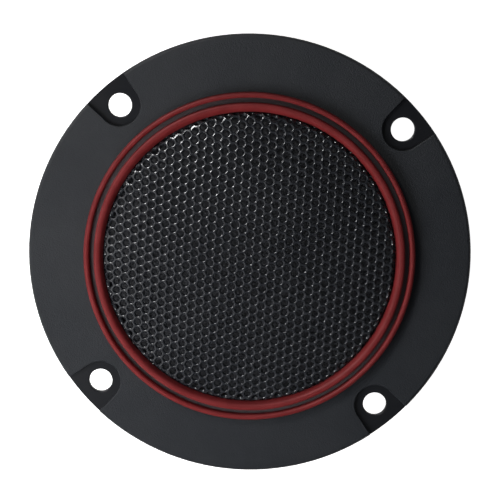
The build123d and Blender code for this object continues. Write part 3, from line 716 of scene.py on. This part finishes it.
def perforated_sheet():
    """The grille: staggered round holes in a sheet bent along grille_meridian.

    Each flat point (u, v) lies at length s = |(u, v)| along the meridian, in the direction
    of (u, v) about the axis, and the lower face lies one sheet thickness under it along the
    normal. The web round each hole is six pieces between the hole's edge and the corners
    of its hexagon; the hexagons' outermost edges run on to the rim of the sheet."""
    meridian = grille_meridian()
    _, _, full_length = along_profile(meridian, np.zeros(1))
    corner_reach = HOLE_PITCH / math.sqrt(3)
    centres = hole_centres(full_length - corner_reach - BORDER_WIDTH)
    corners, shared = web_corners(centres, corner_reach)
    ring, count = hole_circle(HOLE_SIDES), len(centres)

    def bend(flat, drop):
        """Flat points to the bent sheet, drop below its upper face."""
        length = np.linalg.norm(flat, axis=-1)
        at, normal, _ = along_profile(meridian, length)
        at = at - normal * np.asarray(drop)[..., None]
        around = flat / np.maximum(length, 1e-9)[..., None]
        return np.concatenate([around * at[..., :1], at[..., 1:]], axis=-1)

    rings = [(HOLE_RADIUS + HOLE_ROLL, 0.0), (HOLE_RADIUS, HOLE_ROLL),
             (HOLE_RADIUS, SHEET_THICKNESS)]
    n_corner, n_ring = len(corners), count * HOLE_SIDES
    points = [bend(corners, np.zeros(n_corner)), bend(corners, np.full(n_corner, SHEET_THICKNESS))]
    for radius, drop in rings:
        flat = (centres[:, None] + ring * radius).reshape(-1, 2)
        points.append(bend(flat, np.full(n_ring, drop)))
    ring_start = 2 * n_corner + np.arange(3) * n_ring

    step = HOLE_SIDES // 6
    hole = np.arange(count)[:, None] * HOLE_SIDES
    faces = []
    for k in range(6):
        rim = (np.arange(step * (k + 1), step * k - 1, -1) % HOLE_SIDES)[None]
        side = shared[:, [k, (k + 1) % 6]]
        web = np.concatenate([side, ring_start[0] + hole + rim], axis=1)
        under = np.concatenate([side + n_corner, ring_start[2] + hole + rim], axis=1)
        faces += [web, under[:, ::-1]]
    here = np.arange(HOLE_SIDES)[None]
    there = (here + 1) % HOLE_SIDES
    for upper, lower in ((0, 1), (1, 2)):
        walls = np.stack(
            [ring_start[upper] + hole + here, ring_start[upper] + hole + there,
             ring_start[lower] + hole + there, ring_start[lower] + hole + here], axis=-1)
        faces.append(walls.reshape(-1, 4))

    sides = np.stack([shared, np.roll(shared, -1, axis=1)], axis=-1).reshape(-1, 2)
    code = sides[:, 0] * n_corner + sides[:, 1]
    back = sides[:, 1] * n_corner + sides[:, 0]
    border = sides[~np.isin(code, back)]
    used, place = np.unique(border, return_inverse=True)
    place = place.reshape(-1, 2)
    inner = corners[used]
    length = np.linalg.norm(inner, axis=1)
    t = np.linspace(0, 1, BORDER_STEPS + 1)[1:, None]
    stretched = (1 - t) * length + t * full_length
    band = inner / length[:, None]
    band = band[None] * stretched[..., None]
    start = 2 * n_corner + 3 * n_ring
    n_band = band.shape[0] * band.shape[1]
    flat_band = band.reshape(-1, 2)
    points.append(bend(flat_band, np.zeros(n_band)))
    points.append(bend(flat_band, np.full(n_band, SHEET_THICKNESS)))

    def band_row(row, low):
        """Point numbers of one row of the border band, row 0 being the hexagon corners."""
        if row == 0:
            return used[place] + (n_corner if low else 0)
        return start + (n_band if low else 0) + (row - 1) * len(used) + place

    for row in range(BORDER_STEPS):
        for low in (False, True):
            near, far = band_row(row, low), band_row(row + 1, low)
            quad = np.stack([near[:, 1], near[:, 0], far[:, 0], far[:, 1]], axis=-1)
            faces.append(quad[:, ::-1] if low else quad)
    top_edge, low_edge = band_row(BORDER_STEPS, False), band_row(BORDER_STEPS, True)
    faces.append(np.stack([top_edge[:, 0], low_edge[:, 0], low_edge[:, 1], top_edge[:, 1]], axis=1))
    return np.concatenate(points), faces


grille_points, grille_faces = perforated_sheet()
piece("grille_mesh", grille_points, grille_faces, STEEL_COAT, "housing",
      "black_coated_steel", ["grille"], crease=50)

# ------------------------------------------------------------------ scrim cloth
CLOTH_RINGS = 40
CLOTH_THICKNESS = 0.15


def cloth_disc():
    """A flat round cloth: rings of points r (cos a, sin a), with faint pulls of a few
    hundredths of a millimetre that die out at the held edge. With q = r / R,
    z = h + (1 - q^6) (0.02 q^2 sin 5a + 0.015 q^3 cos 9a)."""
    radii = np.linspace(0, RIM_OUTSIDE, CLOTH_RINGS)
    points, faces = turned(np.stack([radii, np.zeros(CLOTH_RINGS)], axis=-1), 144, closed=False)
    r = np.linalg.norm(points[:, :2], axis=1) / RIM_OUTSIDE
    a = np.arctan2(points[:, 1], points[:, 0])
    held = 1 - r**6
    points[:, 2] = (CLOTH_BOTTOM + CLOTH_TOP) / 2
    points[:, 2] += held * (0.02 * np.sin(5 * a) * r**2 + 0.015 * np.cos(9 * a) * r**3)
    return points, faces


cloth_points, cloth_faces = cloth_disc()
cloth = piece("scrim_cloth_mesh", cloth_points, cloth_faces, SCRIM, "housing", "scrim",
              ["scrim_cloth"])
cloth_uv = cloth.data.uv_layers.new(name="cloth")
corner_points = np.empty(len(cloth.data.loops), np.int32)
cloth.data.loops.foreach_get("vertex_index", corner_points)
cloth_uv.data.foreach_set("uv", (cloth_points[corner_points, :2] * MM).ravel())
thickness = cloth.modifiers.new("thickness", "SOLIDIFY")
thickness.thickness = CLOTH_THICKNESS * MM
thickness.offset = 0.0

# ------------------------------------------------------------------ foam and felt parts
GASKET_WIDTH = 2.3
SEAL_WIDTH = 4.8
FELT_BORE_RADIUS = 4.0


def soft_ring(inner, outer, low, high, edge, wave, steps=192):
    """A foam or felt ring: a rounded rectangle carried round the axis, uneven as cut foam
    is. With s = wave (sin 7a + sin(11a + 1)) / 2, its height is |s| less and its radii are
    scaled by the root of 1 + s / R."""
    box = [(inner, high), (outer, high), (outer, low), (inner, low)]
    points, faces = turned(rounded(box, [edge] * 4, 5), steps)
    a = np.arctan2(points[:, 1], points[:, 0])
    swell = wave * (np.sin(7 * a) + np.sin(11 * a + 1)) / 2
    middle = (low + high) / 2
    points[:, 2] = middle + (points[:, 2] - middle) * (1 - np.abs(swell) / (high - low))
    points[:, :2] *= (1 + swell / outer)[:, None] ** 0.5
    return points, faces


def soft_disc(radius, low, high, edge, crown):
    """A foam plug: a turned form with rounded edges whose ends are crowned by the height
    crown (1 - (r / R)^2)."""
    ends = np.linspace(0, radius - edge, 8)
    top = np.stack([ends, high - crown * (ends / radius) ** 2], axis=-1)
    side = rounded([(0, 0), (radius, high - crown), (radius, low + crown), (0, 0)],
                   [0, edge, edge, 0], 5)[1:-1]
    side[:, 1] = np.clip(side[:, 1], low + crown * 0.8, high - crown * 0.8)
    bottom = np.stack([ends[::-1], low + crown * (ends[::-1] / radius) ** 2], axis=-1)
    return turned(np.concatenate([top, side, bottom]), 64, closed=False)


def pillow(half_sizes, power, rows=16, columns=32):
    """A superellipsoid: each direction's cosines and sines are raised to the given power,
    with their sign kept. Power 1 is an ellipsoid and a small power is a rounded block."""
    u = np.linspace(90, -90, rows)[:, None]
    v = np.arange(columns)[None] * 360 / columns

    def keep_sign(wave):
        return np.sign(wave) * np.abs(wave) ** power

    cu, su = keep_sign(np.cos(np.radians(u))), keep_sign(np.sin(np.radians(u)))
    cu[0], cu[-1] = 0, 0
    cv, sv = keep_sign(np.cos(np.radians(v))), keep_sign(np.sin(np.radians(v)))
    grid = np.stack([cu * cv, cu * sv, su * np.ones_like(v)], axis=-1) * half_sizes
    faces = grid_faces(rows, columns, wrap_columns=True)
    return closed_poles(grid.reshape(-1, 3), faces, (0, rows - 1), columns)


def node_box(name):
    """A CAD node's lowest and highest corners, in millimetres."""
    low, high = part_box(name)
    return np.array(low) / MM, np.array(high) / MM


gasket_high = node_box("mounting_gasket")[1]
gasket_shape = soft_ring(gasket_high[0] - GASKET_WIDTH, gasket_high[0], 0.02,
                         gasket_high[2] - 0.02, 0.25, 0.05, 256)
gasket = piece("mounting_gasket_foam", *gasket_shape, GASKET_FOAM, "housing", "foam",
               ["mounting_gasket"])

seal_low, seal_high = node_box("sealing_ring")
seal_shape = soft_ring(seal_high[0] - SEAL_WIDTH, seal_high[0], seal_low[2] + 0.01,
                       seal_high[2] - 0.01, 0.2, 0.04)
seal = piece("sealing_ring_foam", *seal_shape, GASKET_FOAM, "housing", "foam",
             ["sealing_ring"])

felt_low, felt_high = node_box("damping_disc")
felt_shape = soft_ring(FELT_BORE_RADIUS, felt_high[0], felt_low[2] + 0.01, felt_high[2],
                       0.35, 0.08, 96)
felt = piece("damping_disc_felt", *felt_shape, FELT, "housing", "felt", ["damping_disc"])

plug_low, plug_high = node_box("vent_plug")
plug = piece("vent_plug_foam", *soft_disc(plug_high[0], plug_low[2], plug_high[2], 0.5, 0.5),
             GASKET_FOAM, "housing", "foam", ["vent_plug"])

# ------------------------------------------------------------------ dome, surround and coil
dome_low, dome_high = node_box("dome")
COIL_RADIUS = node_box("coil_former")[1][0]
SKIN = 0.25
FABRIC = 0.2
DOME_FOOT = dome_high[0]
FOOT_TOP = dome_low[2] + SKIN
FOOT_ROUNDS = (0.15, 0.1, 0.1, 0.12)


def dome_profile():
    """The dome's section: a sphere's arc from the pole to the coil, a small round into the
    flat foot, and the same line a skin's thickness lower on the way back."""
    rise = dome_high[2] - FOOT_TOP
    sphere = (COIL_RADIUS**2 + rise**2) / (2 * rise)
    reach = math.degrees(math.asin(COIL_RADIUS / sphere))
    outer = arc((0, dome_high[2] - sphere), sphere, 90, 90 - reach, 40)
    inner = arc((0, dome_high[2] - sphere), sphere - SKIN, 90 - reach, 90, 40)
    foot = rounded([outer[-2], outer[-1], (DOME_FOOT, FOOT_TOP), (DOME_FOOT, dome_low[2]),
                    (COIL_RADIUS - 0.1, dome_low[2]), inner[1]],
                   [0, *FOOT_ROUNDS, 0], 4)
    section = np.concatenate([outer[:-1], foot[1:-1], inner[2:]])
    section[0, 0], section[-1, 0] = 0, 0
    return section


piece("dome_skin", *turned(dome_profile(), 128, closed=False), SILK, "diaphragm", "silk",
      ["dome"])

surround_high = node_box("surround")[1]
RIM_OUTER = surround_high[0]
ROLL_WIDTH = 5.0
ROLL_FULLNESS = 0.85
ROLL_EASE = 0.035
CREST_RISE = 0.3
RIM_LEVEL = seal_high[2]


def surround_profile():
    """The surround's section: a half roll from the dome's foot up and over to the clamped
    rim, with its skin a fabric's thickness. As t goes from 0 to 1,
    r = foot + width (t - 0.035 sin 2 pi t) and
    z = foot + (rim - foot) t + crest (sin pi t)^0.85, held under the surround's own top."""
    t = np.linspace(0, 1, 28)
    r = DOME_FOOT + ROLL_WIDTH * (t - np.sin(2 * math.pi * t) * ROLL_EASE)
    rim_low, top = RIM_LEVEL - FABRIC, surround_high[2]
    crest = (top - RIM_LEVEL + CREST_RISE) * np.sin(math.pi * t) ** ROLL_FULLNESS
    low = dome_low[2] + (rim_low - dome_low[2]) * t + crest
    upper = np.stack([r, np.minimum(low + FABRIC, top)], axis=-1)
    lower = np.stack([r, np.minimum(low, top - FABRIC)], axis=-1)
    rim = rounded([upper[-1], (RIM_OUTER, RIM_LEVEL), (RIM_OUTER, rim_low), lower[-1]],
                  [0, 0.06, 0.06, 0], 3)
    return np.concatenate([upper, rim[1:-1], lower[::-1]])


surround = piece("surround_skin", *turned(surround_profile(), 128), SILK, None, "silk",
                 ["surround"])
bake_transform(surround)

winding_low, winding_high = node_box("coil_winding")
WINDING_TURNS = 20


def winding_profile():
    """The coil's section: each turn of wire stands out as half a circle from the one below."""
    wire = (winding_high[2] - winding_low[2]) / WINDING_TURNS / 2
    t = np.radians(np.linspace(80, -80, 6))
    level = winding_high[2] - wire * (2 * np.arange(WINDING_TURNS)[:, None] + 1)
    z = level + wire * np.sin(t)[None]
    r = np.broadcast_to(winding_high[0] - wire + wire * np.cos(t), z.shape)
    outside = np.stack([r.ravel(), z.ravel()], axis=-1)
    top, bottom = (COIL_RADIUS, winding_high[2]), (COIL_RADIUS, winding_low[2])
    return np.concatenate([[top], outside, [bottom]])


piece("coil_winding_turns", *turned(winding_profile(), 128), COPPER, "diaphragm",
      "copper_wire", ["coil_winding"], crease=70)

# ------------------------------------------------------------------ leads and solder
CONTACT_TURN = math.radians(20.0)
contact_low, contact_high = node_box("positive_contact")
CONTACT_LEVEL = contact_high[2] - 0.2
LEAD_START = COIL_RADIUS + 0.15
LEAD_RUN = ((LEAD_START, -1.2), (LEAD_START + 0.05, -0.5), (LEAD_START + 0.9, 0.1),
            (LEAD_START + 2.2, -0.05), (17.3, 0.12))
LEAD_POINTS = 60
LEAD_TWISTS = 9
STRAND_RADIUS = 0.08
STRAND_SPREAD = 0.07


def contact_direction(side):
    """The angle about the axis at which one contact strip lies."""
    return -math.pi / 2 + side * CONTACT_TURN


def out_from_axis(side, radius, height):
    """A point at a radius and height in the upright plane through one contact strip."""
    turn = contact_direction(side)
    return np.array([radius * math.cos(turn), radius * math.sin(turn), height])


def tinsel_lead(side):
    """A short braid that leaves the former, rises, and dips once before its strip: two
    strands that wind round one path. LEAD_RUN gives the path's radii, and its heights
    over the strip."""
    run = [out_from_axis(side, radius, CONTACT_LEVEL + rise) for radius, rise in LEAD_RUN]
    path = smooth_path(run, LEAD_POINTS)
    twist = np.linspace(0, LEAD_TWISTS * FULL_TURN, LEAD_POINTS)
    turn = contact_direction(side)
    across, up = np.array([-math.sin(turn), math.cos(turn), 0]), np.array([0, 0, 1.0])
    strands = []
    for phase in (0, math.pi):
        sideways, upward = np.cos(twist + phase)[:, None], np.sin(twist + phase)[:, None]
        wind = STRAND_SPREAD * (sideways * across + upward * up)
        strands.append(tube(path + wind, STRAND_RADIUS, 8))
    return strands


leads = piece("coil_lead_braids", *joined(tinsel_lead(1) + tinsel_lead(-1)), TINSEL, None,
              "tinsel", ["coil_leads"])
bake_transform(leads)


def solder_joint(middle, sizes, lean):
    """A drop of solder: an ellipsoid whose width at the height z is scaled by
    1 - lean z / h, so that it is drawn out at one end."""
    points, faces = pillow(np.array(sizes), 1.0, 14, 24)
    stretch = 1 - lean * points[:, 2:] / sizes[2]
    points = points * np.concatenate([stretch, stretch, np.ones_like(stretch)], axis=1)
    return points + np.array(middle), faces


positive_low, positive_high = node_box("positive_lug")
negative_low, negative_high = node_box("negative_lug")
LUG_THICKNESS = 0.8
BLADE_FACE = positive_low[1] + LUG_THICKNESS
LUG_MIDDLES = ((positive_low[0] + positive_high[0]) / 2, (negative_low[0] + negative_high[0]) / 2)
STRIP_FOOT_RADIUS = 36.7
STRIP_TIP_RADIUS = 17.35
joints = []
for side in (1, -1):
    foot = out_from_axis(side, STRIP_FOOT_RADIUS, contact_low[2] + 0.3)
    tip = out_from_axis(side, STRIP_TIP_RADIUS, CONTACT_LEVEL + 0.25)
    joints.append(solder_joint(foot, (0.85, 0.75, 1.1), 0.35))
    joints.append(solder_joint(tip, (0.7, 0.6, 0.35), 0.2))
for middle in LUG_MIDDLES:
    lug = (middle, BLADE_FACE + 0.35, positive_high[2] - 2.6)
    joints.append(solder_joint(lug, (0.95, 0.75, 1.2), -0.35))
piece("solder_joints", *joined(joints), SOLDER, "housing", None)

# ------------------------------------------------------------------ capacitor
CAPACITOR_TURN = math.radians(335.0)
CAPACITOR_SIZE = (6.5, 12.0)
PAD_HALF_SIZES = (2.5, 4.0, 0.25)
capacitor_low, capacitor_high = node_box("capacitor")
outward = np.array([math.cos(CAPACITOR_TURN), math.sin(CAPACITOR_TURN), 0])
tangent = np.array([-math.sin(CAPACITOR_TURN), math.cos(CAPACITOR_TURN), 0])
capacitor_middle = (capacitor_low + capacitor_high) / 2
magnet_low, magnet_high = node_box("magnet")
MAGNET_RADIUS = magnet_high[0]


def capacitor_shape():
    """A shrink sleeve over a can: a turned form with rolled lips and sunk ends, laid along
    the magnet's side, r = R - 0.01 - 0.05 (1 - (z / L)^2) between the lips."""
    radius, half = CAPACITOR_SIZE[0] / 2, CAPACITOR_SIZE[1] / 2
    end = np.array([(0, half - 0.75), (1.9, half - 0.75), (2.15, half - 0.6), (2.25, half - 0.15),
                    (2.5, half), (2.85, half - 0.02), (3.1, half - 0.2), (radius, half - 0.55)])
    z = np.linspace(half - 1.1, -half + 1.1, 14)
    body = np.stack([radius - 0.05 * (1 - (z / half) ** 2) - 0.01, z], axis=-1)
    other = end[::-1] * [1, -1]
    points, faces = turned(np.concatenate([end, body, other]), 64, closed=False)
    axes = np.stack([outward, np.array([0, 0, 1.0]), -tangent])
    return points @ axes + capacitor_middle, faces


piece("capacitor_sleeved", *capacitor_shape(), SLEEVE, "housing", "capacitor_sleeve",
      ["capacitor"], crease=50)


def adhesive_pad():
    """A foam pad: a rounded block 8 by 5 mm and half a millimetre thick, bent round the
    magnet so that its length becomes an angle, a = y / R."""
    points, faces = pillow(np.array(PAD_HALF_SIZES), 0.25, 14, 48)
    radius = MAGNET_RADIUS + 0.26 + points[:, 2]
    turn = CAPACITOR_TURN + points[:, 1] / MAGNET_RADIUS
    height = capacitor_middle[2] + points[:, 0]
    return np.stack([radius * np.cos(turn), radius * np.sin(turn), height], axis=-1), faces


pad = piece("capacitor_pad_foam", *adhesive_pad(), GASKET_FOAM, "housing", "foam", ["capacitor_pad"])

# ------------------------------------------------------------------ glue lines on the magnet
GLUE_SIZE = 0.42
GLUE_INSET = 0.33


def glue_line(height, phase):
    """Glue squeezed out beside the magnet: a small bead in the corner between magnet and
    plate, whose radius wanders by 0.18 sin(5a + phase) + 0.12 sin 13a + 0.08 sin(29a + 2)."""
    radius = MAGNET_RADIUS - 0.75
    t = np.radians(np.linspace(0, 360, 9)[:-1][::-1])
    section = [radius + GLUE_SIZE * np.cos(t), height + GLUE_SIZE * 0.8 * np.sin(t)]
    points, faces = turned(np.stack(section, axis=-1), 240)
    a = np.arctan2(points[:, 1], points[:, 0])
    swell = 0.18 * np.sin(5 * a + phase) + 0.12 * np.sin(13 * a) + 0.08 * np.sin(29 * a + 2)
    points[:, :2] *= (1 + swell / radius)[:, None]
    return points, faces


glue_shapes = [glue_line(magnet_high[2] - GLUE_INSET, 0.0),
               glue_line(magnet_low[2] + GLUE_INSET, 2.0)]
piece("magnet_glue", *joined(glue_shapes), GLUE, "housing", None)

# ------------------------------------------------------------------ camera, light, floor
TILT, YAW, ROLL = 8.885, -0.786, -5.011
CAMERA_DISTANCE = 300.0
CAMERA_SHIFT = (-0.144, -1.521)
OUTLINE_HEIGHT = 1.3
LENS, SENSOR_WIDTH = 95.25, 36.0


def place_camera():
    """The camera looks down on the grille: the object is rolled about its axis, tilted
    about the picture's x axis and yawed about its y axis before it."""
    pose = (
        Matrix.Rotation(math.radians(YAW), 3, "Y")
        @ Matrix.Rotation(math.radians(TILT), 3, "X")
        @ Matrix.Rotation(math.radians(ROLL), 3, "Z")
    )
    back = pose.transposed()
    spot = back @ Vector((-CAMERA_SHIFT[0], -CAMERA_SHIFT[1], CAMERA_DISTANCE))
    camera = bpy.data.objects.new("camera", bpy.data.cameras.new("camera"))
    camera.data.sensor_width = SENSOR_WIDTH
    camera.data.lens = LENS
    camera.data.clip_start = 0.01
    camera.data.clip_end = 20.0
    spot = (spot + Vector((0, 0, OUTLINE_HEIGHT))) * MM
    camera.matrix_world = Matrix.Translation(spot) @ back.to_4x4()
    bpy.context.scene.collection.objects.link(camera)
    bpy.context.scene.camera = camera


place_camera()


def soft_box(name, spot, target, width, height, watts, color=(1, 1, 1), only=None):
    """A rectangular soft box at a spot in millimetres, facing a target. It can be kept
    to matt light or to highlights only."""
    light = bpy.data.lights.new(name, "AREA")
    light.shape = "RECTANGLE"
    light.size = width * MM
    light.size_y = height * MM
    light.energy = watts
    light.color = color
    holder = bpy.data.objects.new(name, light)
    holder.location = Vector(spot) * MM
    holder.rotation_euler = (Vector(target) - Vector(spot)).to_track_quat("-Z", "Y").to_euler()
    holder.visible_glossy = only != "matt"
    holder.visible_diffuse = only != "highlights"
    bpy.context.scene.collection.objects.link(holder)


soft_box("window", (-112, -58, 118), (0, 0, 0), 210, 110, 0.32, (1.0, 0.99, 0.985), "matt")
soft_box("window_glow", (-122, -34, 122), (0, 0, 0), 230, 110, 0.1, (1.0, 0.99, 0.985),
         "highlights")
soft_box("lamp", (-230, 380, 390), (0, 0, 0), 60, 60, 0.25, (1, 1, 1), "matt")
soft_box("lamp_glow", (-300, 310, 390), (0, 0, 0), 120, 120, 2.6, (1, 1, 1), "highlights")
soft_box("fill", (60, -200, 420), (0, 0, 0), 300, 300, 0.05, (0.9, 0.95, 1.0))


def seen_or_lit(tree, seen, lit):
    """One value where the camera looks straight at a surface, another for its light."""
    ray = add_node(tree, "ShaderNodeLightPath").outputs["Is Camera Ray"]
    return ramp(tree, ray, 0.0, 1.0, lit, seen)


world = bpy.data.worlds.new("studio")
world.use_nodes = True
backdrop = world.node_tree.nodes["Background"]
backdrop.inputs["Color"].default_value = (0.93, 0.96, 1.0, 1)
world.node_tree.links.new(seen_or_lit(world.node_tree, 1.12, 0.055), backdrop.inputs["Strength"])
bpy.context.scene.world = world

FLOOR_HALF = 1500.0
floor_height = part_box("yoke")[0].z / MM
floor_points = np.array([[-1, -1, 0], [1, -1, 0], [1, 1, 0], [-1, 1, 0]]) * FLOOR_HALF
floor_points[:, 2] = floor_height
floor_finish = Finish("floor", (0.9, 0.9, 0.9), 0.7)
floor_finish.shader.inputs["Emission Color"].default_value = (1, 1, 1, 1)
floor_finish.tree.links.new(seen_or_lit(floor_finish.tree, 1.0, 0.3),
                            floor_finish.shader.inputs["Emission Strength"])
floor_finish.tint(ramp(floor_finish.tree, floor_finish.noise(3), 0.3, 0.7), (0.88, 0.88, 0.88))
floor_mesh = fill_mesh("floor", floor_points, [np.arange(4)[None]])
floor_mesh.materials.append(floor_finish.material)
floor = bpy.data.objects.new("floor", floor_mesh)
bpy.context.scene.collection.objects.link(floor)

bpy.context.scene.view_settings.view_transform = "Standard"
